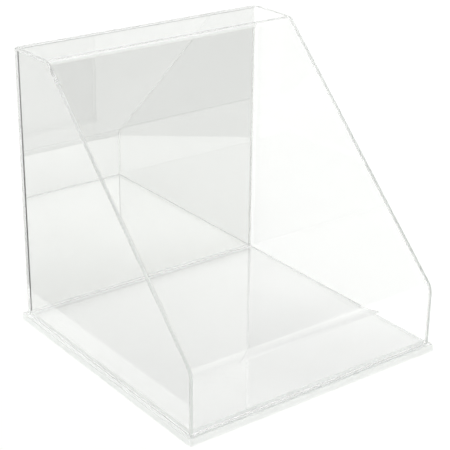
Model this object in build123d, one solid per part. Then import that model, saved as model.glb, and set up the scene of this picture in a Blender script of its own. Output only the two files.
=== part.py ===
"""Slant-front clear acrylic display case on a separate base, with a mirror inside its back.

Frame: millimetres, +Z up, +X to the case's right, +Y to its back. The origin is the middle of the
base plate's underside. The front wall faces -Y.
"""
from build123d import *
from math import sqrt
import os

# ---- base ----
base_width = 305.0            # along X
base_depth = 305.0            # along Y
base_thickness = 7.0
base_easing = 0.5             # polished chamfer on the base plate's corners and edges
locating_thickness = 4.0
locating_clearance = 1.0      # between the locating plate and the inside of the cover

# ---- cover ----
sheet = 3.0                   # thickness of every panel of the cover
side_margin = 3.5             # how far the base stands out past the cover on each side
front_margin = 4.5
rear_margin = 6.5
overall_height = 298.0        # from the underside of the base to the top of the cover
front_wall_height = 63.5      # from the base plate to the sharp corner of the lower bend
top_strip_depth = 61.5        # from the rear face to the sharp corner of the upper bend
upper_bend_radius = 11.5      # outside radius of the heat bend between the top strip and the slope
lower_bend_radius = 17.0      # outside radius of the heat bend above the front wall
rear_corner_radius = 2.0      # on the side panels' top rear corner
edge_easing = 0.3             # polished chamfer round the side panels' outer faces
cement_line = 0.05            # thickness of the cement in each bonded joint
cover_rest = 0.05             # the cover's lower edges above the base plate

# ---- mirror ----
mirror_thickness = 3.0
mirror_back_gap = 0.3         # between the mirror's painted back and the back wall
mirror_side_gap = 3.6         # between the mirror's right edge and the right side panel
mirror_lift = 0.9             # the mirror's lower edge above the locating plate
mirror_top_gap = 0.5          # below the top strip

# ---- derived planes ----
cover_left = -base_width / 2 + side_margin
cover_right = base_width / 2 - side_margin
cover_front = -base_depth / 2 + front_margin
cover_rear = base_depth / 2 - rear_margin
cover_foot = base_thickness + cover_rest
locating_top = base_thickness + cement_line + locating_thickness
inner_left = cover_left + sheet
inner_right = cover_right - sheet
inner_width = inner_right - inner_left
upper_bend_y = cover_rear - top_strip_depth
lower_bend_z = base_thickness + front_wall_height


def block(x0, x1, y0, y1, z0, z1):
    """Solid box between two opposite corners."""
    return Pos(x0, y0, z0) * Box(x1 - x0, y1 - y0, z1 - z0, align=(Align.MIN, Align.MIN, Align.MIN))


def inset_corner(point, normal_a, normal_b, distance):
    """Where two lines that meet at a point meet again, once both have moved inwards."""
    turn = normal_a[0] * normal_b[0] + normal_a[1] * normal_b[1]
    step = distance / (1 + turn)
    y = point[0] - step * (normal_a[0] + normal_b[0])
    z = point[1] - step * (normal_a[1] + normal_b[1])
    return (y, z)


def profile(inset, foot, rear, rear_radius):
    """Closed outline of the cover in the Y-Z plane, moved inwards by an inset."""
    run = upper_bend_y - cover_front
    rise = overall_height - lower_bend_z
    length = sqrt(run * run + rise * rise)
    front = (-1.0, 0.0)
    slope = (-rise / length, run / length)
    top = (0.0, 1.0)
    lower = inset_corner((cover_front, lower_bend_z), front, slope, inset)
    upper = inset_corner((upper_bend_y, overall_height), slope, top, inset)
    corners = [
        (cover_front + inset, foot),
        lower,
        upper,
        (rear, overall_height - inset),
        (rear, foot),
    ]
    outline = Polyline(*[(0, y, z) for y, z in corners], close=True)
    face = make_face(outline.edges())
    face = fillet([v for v in face.vertices() if near(v, lower)], lower_bend_radius - inset)
    face = fillet([v for v in face.vertices() if near(v, upper)], upper_bend_radius - inset)
    if rear_radius > 0:
        face = fillet([v for v in face.vertices() if near(v, corners[3])], rear_radius)
    return face


def near(vertex, point):
    """True when a vertex lies at a point of the Y-Z plane."""
    return abs(vertex.Y - point[0]) < 0.01 and abs(vertex.Z - point[1]) < 0.01


def along_x(face, x0, x1):
    """Solid of a Y-Z outline between two X positions."""
    solid = extrude(face, amount=x1 - x0, dir=(1, 0, 0))
    return Pos(x0, 0, 0) * solid


def make_base_plate():
    """Square base plate with eased corners and edges."""
    plate = block(-base_width / 2, base_width / 2, -base_depth / 2, base_depth / 2, 0, base_thickness)
    plate = chamfer(plate.edges().filter_by(Axis.Z), base_easing)
    plate = chamfer(plate.faces().sort_by(Axis.Z)[-1].edges(), base_easing)
    return plate


def make_locating_plate():
    """Plate that fits loosely inside the cover and keeps it in place."""
    x0 = inner_left + locating_clearance
    x1 = inner_right - locating_clearance
    y0 = cover_front + sheet + locating_clearance
    y1 = cover_rear - sheet - locating_clearance
    plate = block(x0, x1, y0, y1, base_thickness + cement_line, locating_top)
    return chamfer(plate.faces().sort_by(Axis.Z)[-1].edges(), edge_easing)


def make_side_panel(x0, x1, outer_axis_index):
    """Five-sided side panel with rounded corners at the bends, eased on its outer face."""
    outline = profile(0.0, cover_foot, cover_rear, rear_corner_radius)
    panel = along_x(outline, x0, x1)
    outer_face = panel.faces().sort_by(Axis.X)[outer_axis_index]
    return chamfer(outer_face.edges(), edge_easing)


def make_front_sheet():
    """Top strip, slope and front wall in one sheet with two heat bends."""
    outer = profile(0.0, cover_foot, cover_rear, 0.0)
    inner = profile(sheet, cover_foot - 1, cover_rear + 1, 0.0)
    x0 = inner_left + cement_line
    x1 = inner_right - cement_line
    return along_x(outer, x0, x1) - along_x(inner, x0 - 1, x1 + 1)


def make_back_panel():
    """Flat clear back wall under the rear edge of the top strip."""
    x0 = inner_left + cement_line
    x1 = inner_right - cement_line
    top = overall_height - sheet - cement_line
    return block(x0, x1, cover_rear - sheet, cover_rear, cover_foot, top)


def make_mirror_panel():
    """Acrylic mirror just in front of the back wall, set against the left side panel."""
    x0 = inner_left + cement_line
    x1 = inner_right - mirror_side_gap
    y1 = cover_rear - sheet - mirror_back_gap
    z0 = locating_top + mirror_lift
    z1 = overall_height - sheet - mirror_top_gap
    return block(x0, x1, y1 - mirror_thickness, y1, z0, z1)


def main():
    """Write one STEP file for each piece."""
    pieces = {
        "base_plate": make_base_plate(),
        "locating_plate": make_locating_plate(),
        "left_side_panel": make_side_panel(cover_left, inner_left, 0),
        "right_side_panel": make_side_panel(inner_right, cover_right, -1),
        "front_sheet": make_front_sheet(),
        "back_panel": make_back_panel(),
        "mirror_panel": make_mirror_panel(),
    }
    os.makedirs("parts", exist_ok=True)
    for name, shape in pieces.items():
        export_step(shape, f"parts/{name}.step")


main()
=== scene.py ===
"""Slant-front clear acrylic display case with a mirror back: finishes, seams, studio and camera.

Every length is in metres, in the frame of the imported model: +Z up, the front wall faces -Y, and
the origin is the middle of the base plate's underside.
"""

import math
import random

import bmesh
import bpy
from mathutils import Matrix, Vector, noise


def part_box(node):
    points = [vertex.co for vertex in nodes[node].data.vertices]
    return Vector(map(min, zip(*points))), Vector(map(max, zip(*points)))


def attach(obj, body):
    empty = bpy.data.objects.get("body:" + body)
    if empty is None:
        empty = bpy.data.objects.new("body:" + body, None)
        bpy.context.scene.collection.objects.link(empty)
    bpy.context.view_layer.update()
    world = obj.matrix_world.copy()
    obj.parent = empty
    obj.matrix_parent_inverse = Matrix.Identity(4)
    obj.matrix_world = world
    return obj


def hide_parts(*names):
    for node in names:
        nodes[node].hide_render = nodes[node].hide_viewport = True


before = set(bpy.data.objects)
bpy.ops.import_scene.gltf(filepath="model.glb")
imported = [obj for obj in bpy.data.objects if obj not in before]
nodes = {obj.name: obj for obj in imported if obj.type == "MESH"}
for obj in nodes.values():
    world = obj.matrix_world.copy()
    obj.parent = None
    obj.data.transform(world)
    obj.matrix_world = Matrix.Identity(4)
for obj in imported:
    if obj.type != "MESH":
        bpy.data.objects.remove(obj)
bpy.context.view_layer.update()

# ---- cover profile, as in the CAD ----
SHEET = 0.003
FRONT_WALL_HEIGHT = 0.0635        # from the base plate to the sharp corner of the lower bend
TOP_STRIP_DEPTH = 0.0615          # from the rear face to the sharp corner of the upper bend
UPPER_BEND_RADIUS = 0.0115        # outside
LOWER_BEND_RADIUS = 0.017
REAR_CORNER_RADIUS = 0.002
EDGE_EASING = 0.0003              # on the side panels' outer faces
PANEL_EASING = 0.0001             # on the flat panels' edges
BASE_EASING = 0.0005              # on the base plate's top edge
BASE_CORNER_RADIUS = 0.0008
LOCATING_EASING = 0.0003
LOCATING_CORNER_RADIUS = 0.0005
BEND_STEPS = 28
EASING_STEPS = 3
PLATE_CORNER_STEPS = 6
SHARP_ANGLE_DEG = 32

left_low, left_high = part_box("left_side_panel")
right_low, right_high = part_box("right_side_panel")
sheet_low, sheet_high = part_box("front_sheet")
base_low, base_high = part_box("base_plate")
foot_z = left_low.z
top_z = left_high.z
front_y = left_low.y
rear_y = left_high.y
lower_bend_z = base_high.z + FRONT_WALL_HEIGHT
upper_bend_y = rear_y - TOP_STRIP_DEPTH

# ---- acrylic ----
ACRYLIC_IOR = 1.49
COVER_ABSORPTION = 0.45           # per metre, along the inside of a sheet
BASE_ABSORPTION = 0.35
ABSORPTION_TINT = (0.22, 0.25, 0.225)
FACE_HAZE = 0.012                 # greatest roughness of a polished face
# sawn edges: a grey tint on what they let through, painted shade standing in for the dimmer light seen
# through them, and their roughness
COVER_EDGE = ((0.61, 0.64, 0.615), 0.45)
BASE_EDGE = ((0.99, 0.995, 0.99), 0.35)
MIRROR_EDGE = ((0.50, 0.53, 0.51), 0.15)
ROUGH_FROM = 0.1                  # how sawn an edge has to be for its full roughness
ROUGH_SPREAD = (0.8, 1.3)         # of an edge's roughness, from place to place

# ---- how sawn each edge is, from 0 for polished to 1, which also sets how much painted edge shade it gets; a pair is for a stretch's start and end ----
POLISHED = (0, 0)
SAWN = (1, 1)
MIRROR_EDGES = (SAWN, SAWN, (0.35, 0.35), POLISHED)  # bottom, right, top, left
LEFT_RIM = (0.0, 0.75)            # a side panel's rim, at its top and at its foot
RIGHT_RIM = (0.1, 1.0)
REAR_RIM = 0.2
SHEET_END = 0.15                  # the front sheet's foot and rear edge

# ---- mirror ----
COATING_INSET = 0.00005           # from the mirror panel's rear face
COATING_THICKNESS = 0.00002
COATING_EDGE = 0.00015            # from the mirror panel's cut edges
COATING_REFLECTANCE = (0.85, 0.855, 0.845)
COATING_CLOUDING = 0.985          # of the reflectance, where it is least
PAINT_DEPTH = 0.00001             # of the paint under the panel's rear face
PAINT_THICKNESS = 0.00002
PAINT_GREY = (0.40, 0.41, 0.40)
PAINT_MOTTLE = 0.92               # of the grey, where it is darkest

# ---- cement ----
BEAD_LEG = 0.00028                # least leg of the squeezed-out bead
BEAD_EXTRA = 0.00045              # how much more it grows in places
BEAD_STEP = 0.0025
BEAD_HOLLOW = 0.38                # where its concave face stands, as a share of its leg
BEAD_GAP = 0.00002
BEAD_WAVES = 90                   # per metre along the seam
CEMENT_WHITE = (0.97, 0.97, 0.96)
BUBBLES_PER_SEAM = 70
BUBBLE_RADIUS = (0.00008, 0.00022)
BUBBLE_STAND_OFF = 1.6            # of its middle from the side panel, in radii
SEED = 11

# ---- studio ----
FLOOR_LEFT = 0.185                # the table's left edge
FLOOR_RIGHT = 6.0
FLOOR_BACK = 6.0
FLOOR_FRONT = 0.325               # the table's front edge
FLOOR_ALBEDO = 0.90
FLOOR_MOTTLE = 0.99               # of its albedo, where it is least
SHADED_ALBEDO = 0.835             # in the contact shade under the base
SHADE_SOFTNESS = 0.006
# painted shade: a darker strip along the table's front edge, standing in for the shade on its
# rounded-over edge
FLOOR_EDGE_SHADE_WIDTH = 0.0025
FLOOR_EDGE_SHADE_ALBEDO = 0.6
FLOOR_GAP = 0.0002                # the base plate stands on its high spots
CORNER_START = 0.211              # where the less bright corner meets the table's front edge
CORNER_END = 0.9
CORNER_SLOPE = 0.76               # of its border, across the table
CORNER_ALBEDO = 0.78

# ---- light levels of the studio, by the sine of the height above the horizon ----
WORLD_STRENGTH = 2.6
LIGHT_TINT = (0.990, 1.0, 0.984)  # of the whole studio
FRONT_TO_BACK = (-0.24, -0.15)    # how far towards +Y a direction points where the light changes
RIGHT_TO_LEFT = (-0.1, -0.35)     # and how far towards +X
FRONT_LIGHT = (
    (-0.5, 0.93), (-0.05, 0.93), (0.0, 1.15), (0.33, 1.4), (0.40, 1.6), (0.44, 1.35),
    (0.48, 1.05), (0.50, 0.80), (0.52, 0.65), (0.58, 0.30), (0.74, 0.28), (0.80, 0.18), (0.84, 0.18),
    (0.90, 2.1),
)
BACK_LIGHT = (
    (-0.5, 1.02), (0.0, 1.08), (0.33, 1.08), (0.39, 1.20), (0.44, 1.15), (0.465, 0.80), (0.495, 0.50),
    (0.56, 0.85), (0.64, 1.25), (0.90, 1.25), (0.93, 2.1),
)
LEFT_LIGHT = (
    (-0.5, 0.60), (-0.40, 0.60), (-0.36, 0.62), (-0.31, 1.1), (-0.05, 1.1), (0.05, 0.9),
    (0.35, 0.8), (0.50, 0.8), (0.60, 1.6), (0.90, 1.6),
)

# ---- camera ----
CAMERA_POSITION = (-0.7336, -0.9661, 0.6489)
CAMERA_TARGET = (-0.0404, -0.0528, 0.1525)
CAMERA_ROLL_DEG = 0.708
CAMERA_LENS_MM = 105.256
CAMERA_SENSOR_MM = 36.0

# ---- light paths ----
CLEAR_BOUNCES = 160               # long, so that light is followed along the inside of a sheet
DIFFUSE_BOUNCES = 4
TRANSPARENT_BOUNCES = 32


# ------------------------------------------------------------------ materials


def new_material(name):
    """An empty node material with its output node."""
    material = bpy.data.materials.new(name)
    material.use_nodes = True
    tree = material.node_tree
    tree.nodes.clear()
    output = tree.nodes.new("ShaderNodeOutputMaterial")
    return material, tree, output


def add(tree, kind, inputs=(), **properties):
    """A new shader node with its properties and plain input values set."""
    made = tree.nodes.new(kind)
    for name, value in properties.items():
        setattr(made, name, value)
    for name, value in dict(inputs).items():
        made.inputs[name].default_value = value
    return made


def smooth_step(tree, start, end):
    """A node that rises smoothly from 0 to 1 between two values."""
    limits = {"From Min": start, "From Max": end}
    return add(tree, "ShaderNodeMapRange", limits, interpolation_type="SMOOTHSTEP")


def live(sockets, name):
    """The socket of that name that is in use, on a node that has several."""
    return next(s for s in sockets if s.name == name and s.enabled)


def acrylic(name, absorption, edge_shade_tint, edge_roughness):
    """Clear cast acrylic: clear faces and rougher cut edges tinted grey as painted shade, told apart by
    the cut_edge attribute.
    """
    material, tree, output = new_material(name)
    link = tree.links.new
    glass = add(tree, "ShaderNodeBsdfPrincipled", {
        "Transmission Weight": 1.0,
        "IOR": ACRYLIC_IOR,
    })
    edge = add(tree, "ShaderNodeAttribute", attribute_name="cut_edge")
    place = add(tree, "ShaderNodeTexCoord")
    haze = add(tree, "ShaderNodeTexNoise", {"Scale": 60.0, "Detail": 3.0})
    clear = add(tree, "ShaderNodeMapRange", {"From Min": 0.35, "From Max": 0.8, "To Max": FACE_HAZE})
    dull = add(tree, "ShaderNodeMapRange", {
        "From Min": 0.3, "From Max": 0.7,
        "To Min": edge_roughness * ROUGH_SPREAD[0], "To Max": edge_roughness * ROUGH_SPREAD[1],
    })
    sawn = add(tree, "ShaderNodeMapRange", {"From Max": ROUGH_FROM})
    rough = add(tree, "ShaderNodeMix")
    link(place.outputs["Object"], haze.inputs["Vector"])
    link(haze.outputs["Fac"], clear.inputs["Value"])
    link(haze.outputs["Fac"], dull.inputs["Value"])
    link(edge.outputs["Fac"], sawn.inputs["Value"])
    link(sawn.outputs["Result"], rough.inputs["Factor"])
    link(clear.outputs["Result"], rough.inputs["A"])
    link(dull.outputs["Result"], rough.inputs["B"])
    link(rough.outputs["Result"], glass.inputs["Roughness"])
    # painted shade: the cut edges' grey tint darkens the light seen through them
    tint = add(tree, "ShaderNodeMix", data_type="RGBA")
    live(tint.inputs, "A").default_value = (1, 1, 1, 1)
    live(tint.inputs, "B").default_value = (*edge_shade_tint, 1)
    link(edge.outputs["Fac"], live(tint.inputs, "Factor"))
    link(live(tint.outputs, "Result"), glass.inputs["Base Color"])

    wave = add(tree, "ShaderNodeTexNoise", {"Scale": 14.0, "Detail": 1.0})
    bump = add(tree, "ShaderNodeBump", {"Strength": 0.06, "Distance": 0.002})
    link(place.outputs["Object"], wave.inputs["Vector"])
    link(wave.outputs["Fac"], bump.inputs["Height"])
    link(bump.outputs["Normal"], glass.inputs["Normal"])

    volume = add(tree, "ShaderNodeVolumeAbsorption", {
        "Color": (*ABSORPTION_TINT, 1),
        "Density": absorption,
    })
    link(glass.outputs["BSDF"], output.inputs["Surface"])
    link(volume.outputs["Volume"], output.inputs["Volume"])
    return material


def seam_cement():
    """Solvent cement, clear in places and milky with fine bubbles in others."""
    material, tree, output = new_material("seam_cement")
    link = tree.links.new
    cement = add(tree, "ShaderNodeBsdfPrincipled", {
        "Base Color": (*CEMENT_WHITE, 1),
        "Roughness": 0.3,
        "IOR": ACRYLIC_IOR,
    })
    place = add(tree, "ShaderNodeTexCoord")
    cloud = add(tree, "ShaderNodeTexNoise", {"Scale": 220.0, "Detail": 2.0})
    clarity = add(tree, "ShaderNodeMapRange", {
        "From Min": 0.4, "From Max": 0.6, "To Min": 0.1, "To Max": 0.7,
    })
    link(place.outputs["Object"], cloud.inputs["Vector"])
    link(cloud.outputs["Fac"], clarity.inputs["Value"])
    link(clarity.outputs["Result"], cement.inputs["Transmission Weight"])
    link(cement.outputs["BSDF"], output.inputs["Surface"])
    return material


def mirror_metal():
    """Vacuum-deposited coating, seen through the acrylic."""
    material, tree, output = new_material("mirror_metal")
    link = tree.links.new
    metal = add(tree, "ShaderNodeBsdfPrincipled", {"Metallic": 1.0})
    place = add(tree, "ShaderNodeTexCoord")
    cloud = add(tree, "ShaderNodeTexNoise", {"Scale": 9.0, "Detail": 3.0})
    haze = add(tree, "ShaderNodeMapRange", {"From Min": 0.4, "From Max": 0.8, "To Max": 0.01})
    tint = add(tree, "ShaderNodeMix", data_type="RGBA")
    live(tint.inputs, "A").default_value = (*COATING_REFLECTANCE, 1)
    live(tint.inputs, "B").default_value = (*(c * COATING_CLOUDING for c in COATING_REFLECTANCE), 1)
    link(place.outputs["Object"], cloud.inputs["Vector"])
    link(cloud.outputs["Fac"], haze.inputs["Value"])
    link(haze.outputs["Result"], metal.inputs["Roughness"])
    link(cloud.outputs["Fac"], live(tint.inputs, "Factor"))
    link(live(tint.outputs, "Result"), metal.inputs["Base Color"])
    link(metal.outputs["BSDF"], output.inputs["Surface"])
    return material


def grey_paint():
    """Sprayed grey paint over the back of the coating."""
    material, tree, output = new_material("mirror_paint")
    link = tree.links.new
    paint = add(tree, "ShaderNodeBsdfPrincipled", {"Roughness": 0.6})
    place = add(tree, "ShaderNodeTexCoord")
    cloud = add(tree, "ShaderNodeTexNoise", {"Scale": 25.0, "Detail": 4.0})
    ramp = add(tree, "ShaderNodeValToRGB")
    ramp.color_ramp.elements[0].position = 0.3
    ramp.color_ramp.elements[0].color = (*(c * PAINT_MOTTLE for c in PAINT_GREY), 1)
    ramp.color_ramp.elements[1].position = 0.7
    ramp.color_ramp.elements[1].color = (*PAINT_GREY, 1)
    grain = add(tree, "ShaderNodeTexNoise", {"Scale": 900.0, "Detail": 2.0})
    bump = add(tree, "ShaderNodeBump", {"Strength": 0.2, "Distance": 0.0002})
    link(place.outputs["Object"], cloud.inputs["Vector"])
    link(place.outputs["Object"], grain.inputs["Vector"])
    link(cloud.outputs["Fac"], ramp.inputs["Fac"])
    link(ramp.outputs["Color"], paint.inputs["Base Color"])
    link(grain.outputs["Fac"], bump.inputs["Height"])
    link(bump.outputs["Normal"], paint.inputs["Normal"])
    link(paint.outputs["BSDF"], output.inputs["Surface"])
    return material


# ------------------------------------------------------------------ mesh helpers


def finish_piece(name, mesh, material, body, replaced=None):
    """Links a mesh as a piece with smooth arcs and crisp edges, riding on a body."""
    mesh.set_sharp_from_angle(angle=math.radians(SHARP_ANGLE_DEG))
    mesh.materials.append(material)
    piece = bpy.data.objects.new(name, mesh)
    bpy.context.scene.collection.objects.link(piece)
    flat = piece.modifiers.new("flat_faces_stay_flat", "WEIGHTED_NORMAL")
    flat.keep_sharp = True
    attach(piece, body)
    if replaced:
        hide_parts(replaced)
    return piece


def mesh_from(name, points, faces, cut):
    """A smooth-shaded mesh with outward normals. cut says how sawn each face's corners are."""
    mesh = bpy.data.meshes.new(name)
    mesh.from_pydata(points, [], faces)
    attribute = mesh.attributes.new("cut_edge", "FLOAT", "CORNER")
    attribute.data.foreach_set("value", [float(c) for corners in cut for c in corners])
    work = bmesh.new()
    work.from_mesh(mesh)
    bmesh.ops.recalc_face_normals(work, faces=work.faces)
    work.to_mesh(mesh)
    work.free()
    mesh.polygons.foreach_set("use_smooth", [True] * len(mesh.polygons))
    mesh.update()
    return mesh


def inset_corners(corners, distance):
    """Corners (a, b, radius) of a convex outline, counter-clockwise, moved inwards by a distance."""
    moved = []
    count = len(corners)
    for i, (a, b, radius) in enumerate(corners):
        here = Vector((a, b))
        before = (here - Vector(corners[i - 1][:2])).normalized()
        after = (Vector(corners[(i + 1) % count][:2]) - here).normalized()
        normal_before = Vector((before.y, -before.x))
        normal_after = Vector((after.y, -after.x))
        step = distance / (1 + normal_before.dot(normal_after))
        new = here - step * (normal_before + normal_after)
        moved.append((new.x, new.y, radius - distance if radius > 0 else 0.0))
    return moved


def outline(corners, steps):
    """Points round an outline whose corners are (a, b, radius)."""
    points = []
    count = len(corners)
    for i, (a, b, radius) in enumerate(corners):
        here = Vector((a, b))
        if radius <= 0:
            points.append(here)
            continue
        before = (Vector(corners[i - 1][:2]) - here).normalized()
        after = (Vector(corners[(i + 1) % count][:2]) - here).normalized()
        half = before.angle(after) / 2
        centre = here + (before + after).normalized() * (radius / math.sin(half))
        start = here + before * (radius / math.tan(half)) - centre
        sweep = math.pi - 2 * half
        for k in range(steps + 1):
            turn = Matrix.Rotation(sweep * k / steps, 2)
            points.append(centre + turn @ start)
    return points


def cover_corners():
    """The cover's outline in the Y-Z plane, counter-clockwise seen from +X."""
    return [
        (front_y, foot_z, 0.0),
        (rear_y, foot_z, 0.0),
        (rear_y, top_z, REAR_CORNER_RADIUS),
        (upper_bend_y, top_z, UPPER_BEND_RADIUS),
        (front_y, lower_bend_z, LOWER_BEND_RADIUS),
    ]


def loft(sections, cap_cut, side_cuts):
    """Closed solid through loops of points. Returns points, faces and how sawn their corners are.

    side_cuts holds the values at the start and end of each stretch of a loop, or one such pair.
    """
    points = [p for loop in sections for p in loop]
    count = len(sections[0])
    faces = [tuple(range(count))]
    cut = [[cap_cut] * count]
    for s in range(len(sections) - 1):
        for i in range(count):
            j = (i + 1) % count
            a, b = s * count, (s + 1) * count
            faces.append((a + i, a + j, b + j, b + i))
            start, end = side_cuts[i % len(side_cuts)]
            cut.append([start, end, end, start])
    faces.append(tuple(range((len(sections) - 1) * count, len(sections) * count)))
    cut.append([cap_cut] * count)
    return points, faces, cut


def rounding(size, steps):
    """(depth below the face, inset) pairs down a rounded edge of that size."""
    pairs = []
    for k in range(steps + 1):
        angle = math.pi / 2 * k / steps
        pairs.append((size * (1 - math.cos(angle)), size * (1 - math.sin(angle))))
    return pairs


# ------------------------------------------------------------------ pieces


def rim_finish(loop, top, foot):
    """How sawn each stretch of a side panel's rim is: its start and end values, by their height."""
    pairs = []
    for i, here in enumerate(loop):
        ends = (here, loop[(i + 1) % len(loop)])
        middle = (ends[0] + ends[1]) / 2
        if middle.x > rear_y - REAR_CORNER_RADIUS or middle.y < foot_z + EDGE_EASING:
            pairs.append((REAR_RIM, REAR_RIM))
            continue
        down = [min(1.0, (top_z - p.y) / (top_z - lower_bend_z)) for p in ends]
        pairs.append([top + (foot - top) * d for d in down])
    return pairs


def make_side_panel(node_name, inner_x, outer_x, material, rim):
    """Side panel with rounded bend corners and an eased outer rim."""
    corners = cover_corners()
    outward = 1 if outer_x > inner_x else -1
    sections = [[(inner_x, p.x, p.y) for p in outline(corners, BEND_STEPS)]]
    for depth, inset in reversed(rounding(EDGE_EASING, EASING_STEPS)):
        x = outer_x - outward * depth
        loop = outline(inset_corners(corners, inset), BEND_STEPS)
        sections.append([(x, p.x, p.y) for p in loop])
    points, faces, cut = loft(sections, 0, rim_finish(outline(corners, BEND_STEPS), *rim))
    mesh = mesh_from(node_name + "_clear", points, faces, cut)
    return finish_piece(node_name + "_clear", mesh, material, "cover", node_name)


def sheet_path(inset):
    """Open path of the bent sheet in the Y-Z plane, from its foot to its rear edge."""
    corners = inset_corners(cover_corners(), inset)
    front_foot, _, rear_top, upper, lower = corners
    closed = [
        (front_foot[0], foot_z, 0.0),
        (rear_y, foot_z, 0.0),
        (rear_y, rear_top[1], 0.0),
        upper,
        lower,
    ]
    path = outline(closed, BEND_STEPS)
    front, _, rear, *bends = path
    return [front] + bends[::-1] + [rear]


def make_front_sheet(material):
    """Front wall, slope and top strip as one bent sheet."""
    outer = sheet_path(0.0)
    inner = sheet_path(SHEET)
    count = len(outer)
    sections = []
    for x in (sheet_low.x, sheet_high.x):
        sections.append([(x, p.x, p.y) for p in outer + inner])
    points = sections[0] + sections[1]
    faces, cut = [], []
    total = 2 * count
    for i in range(count - 1):
        o, n = i, i + count
        faces.append((o, o + 1, total + o + 1, total + o))
        faces.append((n, n + 1, total + n + 1, total + n))
        faces.append((o, o + 1, n + 1, n))
        faces.append((total + o, total + o + 1, total + n + 1, total + n))
        cut += [[0] * 4] * 4
    for o in (0, count - 1):
        faces.append((o, o + count, total + o + count, total + o))
        cut.append([SHEET_END] * 4)
    mesh = mesh_from("front_sheet_clear", points, faces, cut)
    return finish_piece("front_sheet_clear", mesh, material, "cover", "front_sheet")


def rectangle(low_a, high_a, low_b, high_b, radius):
    """Corners of a rectangle, counter-clockwise."""
    return [
        (low_a, low_b, radius),
        (high_a, low_b, radius),
        (high_a, high_b, radius),
        (low_a, high_b, radius),
    ]


def make_upright_panel(node_name, new_name, material, sawn):
    """Flat panel across the case, its big faces towards -Y and +Y, eased all round."""
    low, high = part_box(node_name)
    corners = rectangle(low.x, high.x, low.z, high.z, 0.0)
    pairs = rounding(PANEL_EASING, EASING_STEPS)
    sections = []
    for depth, inset in pairs:
        loop = outline(inset_corners(corners, inset), 1)
        sections.append([(p.x, low.y + depth, p.y) for p in loop])
    for depth, inset in reversed(pairs):
        loop = outline(inset_corners(corners, inset), 1)
        sections.append([(p.x, high.y - depth, p.y) for p in loop])
    points, faces, cut = loft(sections, 0, sawn)
    mesh = mesh_from(new_name, points, faces, cut)
    return finish_piece(new_name, mesh, material, "cover", node_name)


def make_plate(node_name, easing, corner_radius, material):
    """Flat plate lying on the floor or on the base, eased round its top and bottom."""
    low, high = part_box(node_name)
    corners = rectangle(low.x, high.x, low.y, high.y, corner_radius)
    sections = []
    for depth, inset in rounding(PANEL_EASING, EASING_STEPS):
        loop = outline(inset_corners(corners, inset), PLATE_CORNER_STEPS)
        sections.append([(p.x, p.y, low.z + depth) for p in loop])
    for depth, inset in reversed(rounding(easing, EASING_STEPS)):
        loop = outline(inset_corners(corners, inset), PLATE_CORNER_STEPS)
        sections.append([(p.x, p.y, high.z - depth) for p in loop])
    points, faces, cut = loft(sections, 0, [SAWN])
    mesh = mesh_from(node_name + "_clear", points, faces, cut)
    return finish_piece(node_name + "_clear", mesh, material, "base", node_name)


def mirror_layer(name, rear_depth, thickness, edge, material):
    """Thin flat layer on the back of the mirror panel, kept clear of its cut edges."""
    low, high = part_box("mirror_panel")
    rear = high.y - rear_depth
    corners = rectangle(low.x, high.x, low.z, high.z, 0.0)
    loop = outline(inset_corners(corners, edge), 1)
    sections = [
        [(p.x, rear - thickness, p.y) for p in loop],
        [(p.x, rear, p.y) for p in loop],
    ]
    points, faces, cut = loft(sections, 0, [POLISHED])
    mesh = mesh_from(name, points, faces, cut)
    return finish_piece(name, mesh, material, "cover")


def resample(path, step):
    """Points at even steps along an open path of two-dimensional points."""
    points = [path[0].copy()]
    for start, end in zip(path, path[1:]):
        parts = max(1, round((end - start).length / step))
        points += [start.lerp(end, k / parts) for k in range(1, parts + 1)]
    return points


def make_seam(name, panel_x, into, material):
    """Squeezed-out cement along the inner corner of a side joint, with its bubbles."""
    path = resample(sheet_path(SHEET), BEAD_STEP)
    ragged = random.Random(f"{SEED} {name}")
    shift = ragged.uniform(0, 50)
    sections = []
    for i, p in enumerate(path):
        before = path[max(i - 1, 0)]
        after = path[min(i + 1, len(path) - 1)]
        along = (after - before).normalized()
        inward = Vector((along.y, -along.x))
        spot = Vector((p.x * BEAD_WAVES + shift, p.y * BEAD_WAVES, shift))
        swell = max(0.0, noise.noise(spot))
        leg = BEAD_LEG + BEAD_EXTRA * swell
        ends = []
        hollow = leg * BEAD_HOLLOW
        for across, up in ((BEAD_GAP, BEAD_GAP), (leg, BEAD_GAP), (hollow, hollow), (BEAD_GAP, leg)):
            q = p + inward * up
            ends.append((panel_x + into * across, q.x, q.y))
        sections.append(ends)
    points, faces, cut = loft(sections, 0, [POLISHED])
    mesh = mesh_from(name, points, faces, cut)
    work = bmesh.new()
    work.from_mesh(mesh)
    for _ in range(BUBBLES_PER_SEAM):
        place = ragged.choice(path[:-1])
        radius = ragged.uniform(*BUBBLE_RADIUS)
        offset = bubble_offset(path, place, radius)
        x = panel_x + into * radius * BUBBLE_STAND_OFF
        spot = Vector((x, place.x + offset.x, place.y + offset.y))
        bmesh.ops.create_icosphere(work, subdivisions=2, radius=radius, matrix=Matrix.Translation(spot))
    work.to_mesh(mesh)
    work.free()
    mesh.polygons.foreach_set("use_smooth", [True] * len(mesh.polygons))
    return finish_piece(name, mesh, material, "cover")


def bubble_offset(path, place, radius):
    """Step from the seam's path into the case, just past the bead."""
    i = path.index(place)
    along = (path[i + 1] - place).normalized()
    return Vector((along.y, -along.x)) * (BEAD_LEG + BEAD_EXTRA + radius)


# ------------------------------------------------------------------ studio


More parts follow.
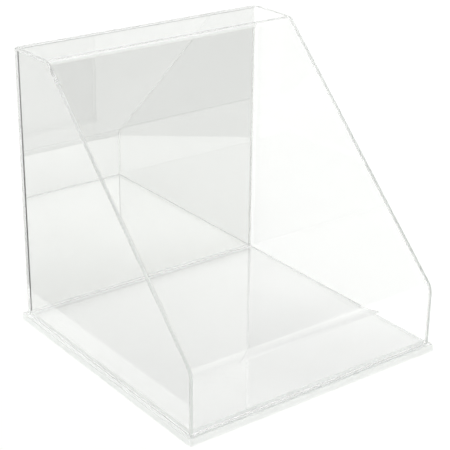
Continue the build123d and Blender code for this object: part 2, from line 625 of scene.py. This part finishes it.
def make_floor():
    """Plain pale table top, with a strip of painted shade along its front edge, standing in for its
    rounded-over edge turned away from the light, and a less bright front corner.
    """
    left, right, back, front = -FLOOR_LEFT, FLOOR_RIGHT, FLOOR_BACK, -FLOOR_FRONT
    rim = front - FLOOR_EDGE_SHADE_WIDTH
    corner_back = front + CORNER_SLOPE * (CORNER_END - CORNER_START)
    top = [(left, front), (right, front), (right, back), (left, back)]
    edge = [(left, rim), (right, rim), (right, front), (left, front)]
    corner = [(CORNER_START, front), (CORNER_END, front), (CORNER_END, corner_back)]
    stage_sheet("floor", top, -FLOOR_GAP, FLOOR_ALBEDO)
    # painted shade along the table's front edge
    stage_sheet("floor_edge_painted_shade", edge, -FLOOR_GAP, FLOOR_EDGE_SHADE_ALBEDO)
    stage_sheet("floor_corner", corner, -FLOOR_GAP / 2, CORNER_ALBEDO)


def stage_sheet(name, loop, z, albedo):
    """Level painted surface of the table, shaded where the base stands on it."""
    material, tree, output = new_material(name + "_paint")
    link = tree.links.new
    paint = add(tree, "ShaderNodeBsdfDiffuse")
    place = add(tree, "ShaderNodeTexCoord")
    cloud = add(tree, "ShaderNodeTexNoise", {"Scale": 3.0, "Detail": 2.0})
    tone = add(tree, "ShaderNodeMapRange", {
        "From Min": 0.3, "From Max": 0.7, "To Min": albedo * FLOOR_MOTTLE, "To Max": albedo,
    })
    split = add(tree, "ShaderNodeSeparateXYZ")
    shade = add(tree, "ShaderNodeMix")
    shade.inputs["B"].default_value = SHADED_ALBEDO
    masks = []
    for axis, half in (("X", base_high.x), ("Y", base_high.y)):
        away = add(tree, "ShaderNodeMath", operation="ABSOLUTE")
        mask = smooth_step(tree, half + SHADE_SOFTNESS / 2, half - SHADE_SOFTNESS / 2)
        link(split.outputs[axis], away.inputs[0])
        link(away.outputs["Value"], mask.inputs["Value"])
        masks.append(mask)
    under = add(tree, "ShaderNodeMath", operation="MULTIPLY")
    link(place.outputs["Object"], cloud.inputs["Vector"])
    link(place.outputs["Object"], split.inputs["Vector"])
    link(cloud.outputs["Fac"], tone.inputs["Value"])
    link(masks[0].outputs["Result"], under.inputs[0])
    link(masks[1].outputs["Result"], under.inputs[1])
    link(under.outputs["Value"], shade.inputs["Factor"])
    link(tone.outputs["Result"], shade.inputs["A"])
    link(shade.outputs["Result"], paint.inputs["Color"])
    link(paint.outputs["BSDF"], output.inputs["Surface"])
    mesh = bpy.data.meshes.new(name)
    mesh.from_pydata([(x, y, z) for x, y in loop], [], [tuple(range(len(loop)))])
    mesh.materials.append(material)
    sheet = bpy.data.objects.new(name, mesh)
    bpy.context.scene.collection.objects.link(sheet)


def light_ramp(tree, stops):
    """A ramp of light levels up one side of the studio."""
    ramp = add(tree, "ShaderNodeValToRGB")
    elements = ramp.color_ramp.elements
    while len(elements) < len(stops):
        elements.new(1.0)
    for element, (sine, level) in zip(elements, stops):
        element.position = (sine + 1) / 2
        element.color = (*(level / WORLD_STRENGTH * c for c in LIGHT_TINT), 1)
    return ramp


def make_world():
    """Soft studio light: a bright ceiling, a dark band high in front, and pale walls."""
    world = bpy.data.worlds.new("studio")
    bpy.context.scene.world = world
    world.use_nodes = True
    tree = world.node_tree
    tree.nodes.clear()
    link = tree.links.new
    output = add(tree, "ShaderNodeOutputWorld")
    background = add(tree, "ShaderNodeBackground", {"Strength": WORLD_STRENGTH})
    direction = add(tree, "ShaderNodeTexCoord")
    split = add(tree, "ShaderNodeSeparateXYZ")
    height = add(tree, "ShaderNodeMapRange", {"From Min": -1.0, "From Max": 1.0})
    facing = smooth_step(tree, *FRONT_TO_BACK)
    sideways = smooth_step(tree, *RIGHT_TO_LEFT)
    front = light_ramp(tree, FRONT_LIGHT)
    back = light_ramp(tree, BACK_LIGHT)
    left = light_ramp(tree, LEFT_LIGHT)
    mix = add(tree, "ShaderNodeMix", data_type="RGBA")
    with_left = add(tree, "ShaderNodeMix", data_type="RGBA")
    link(direction.outputs["Generated"], split.inputs["Vector"])
    link(split.outputs["Z"], height.inputs["Value"])
    link(split.outputs["Y"], facing.inputs["Value"])
    link(height.outputs["Result"], front.inputs["Fac"])
    link(height.outputs["Result"], back.inputs["Fac"])
    link(facing.outputs["Result"], live(mix.inputs, "Factor"))
    link(front.outputs["Color"], live(mix.inputs, "A"))
    link(back.outputs["Color"], live(mix.inputs, "B"))
    link(split.outputs["X"], sideways.inputs["Value"])
    link(height.outputs["Result"], left.inputs["Fac"])
    link(sideways.outputs["Result"], live(with_left.inputs, "Factor"))
    link(live(mix.outputs, "Result"), live(with_left.inputs, "A"))
    link(left.outputs["Color"], live(with_left.inputs, "B"))
    link(live(with_left.outputs, "Result"), background.inputs["Color"])
    link(background.outputs["Background"], output.inputs["Surface"])


def make_camera():
    """Camera above the case's front left corner, looking down at it."""
    position = Vector(CAMERA_POSITION)
    roll = math.radians(CAMERA_ROLL_DEG)
    forward = (Vector(CAMERA_TARGET) - position).normalized()
    level = forward.cross(Vector((0, 0, 1))).normalized()
    up = level.cross(forward)
    right_axis = math.cos(roll) * level + math.sin(roll) * up
    up_axis = math.cos(roll) * up - math.sin(roll) * level
    data = bpy.data.cameras.new("camera")
    data.sensor_width = CAMERA_SENSOR_MM
    data.lens = CAMERA_LENS_MM
    camera = bpy.data.objects.new("camera", data)
    rotation = Matrix((right_axis, up_axis, -forward)).transposed()
    camera.matrix_world = Matrix.Translation(position) @ rotation.to_4x4()
    bpy.context.scene.collection.objects.link(camera)
    bpy.context.scene.camera = camera


def set_light_paths():
    """Long light paths, so that light is followed all the way along the inside of a sheet."""
    scene = bpy.context.scene
    cycles = scene.cycles
    cycles.max_bounces = CLEAR_BOUNCES
    cycles.glossy_bounces = CLEAR_BOUNCES
    cycles.transmission_bounces = CLEAR_BOUNCES
    cycles.diffuse_bounces = DIFFUSE_BOUNCES
    cycles.transparent_max_bounces = TRANSPARENT_BOUNCES
    cycles.caustics_reflective = True
    cycles.caustics_refractive = True
    cycles.blur_glossy = 0.0
    cycles.use_denoising = True
    scene.view_settings.view_transform = "Standard"


# ------------------------------------------------------------------ build

clear = acrylic("clear_acrylic", COVER_ABSORPTION, *COVER_EDGE)
base_clear = acrylic("base_acrylic", BASE_ABSORPTION, *BASE_EDGE)
mirror_clear = acrylic("mirror_acrylic", COVER_ABSORPTION, *MIRROR_EDGE)
make_side_panel("left_side_panel", left_high.x, left_low.x, clear, LEFT_RIM)
make_side_panel("right_side_panel", right_low.x, right_high.x, clear, RIGHT_RIM)
make_front_sheet(clear)
make_upright_panel("back_panel", "back_panel_clear", clear, [POLISHED])
make_upright_panel("mirror_panel", "mirror_panel_clear", mirror_clear, MIRROR_EDGES)
make_plate("base_plate", BASE_EASING, BASE_CORNER_RADIUS, base_clear)
make_plate("locating_plate", LOCATING_EASING, LOCATING_CORNER_RADIUS, base_clear)
mirror_layer("mirror_coating", COATING_INSET, COATING_THICKNESS, COATING_EDGE, mirror_metal())
mirror_layer("mirror_paint", PAINT_DEPTH, PAINT_THICKNESS, COATING_EDGE, grey_paint())
cement = seam_cement()
make_seam("left_seam_cement", left_high.x, 1, cement)
make_seam("right_seam_cement", right_low.x, -1, cement)
make_floor()
make_world()
make_camera()
set_light_paths()
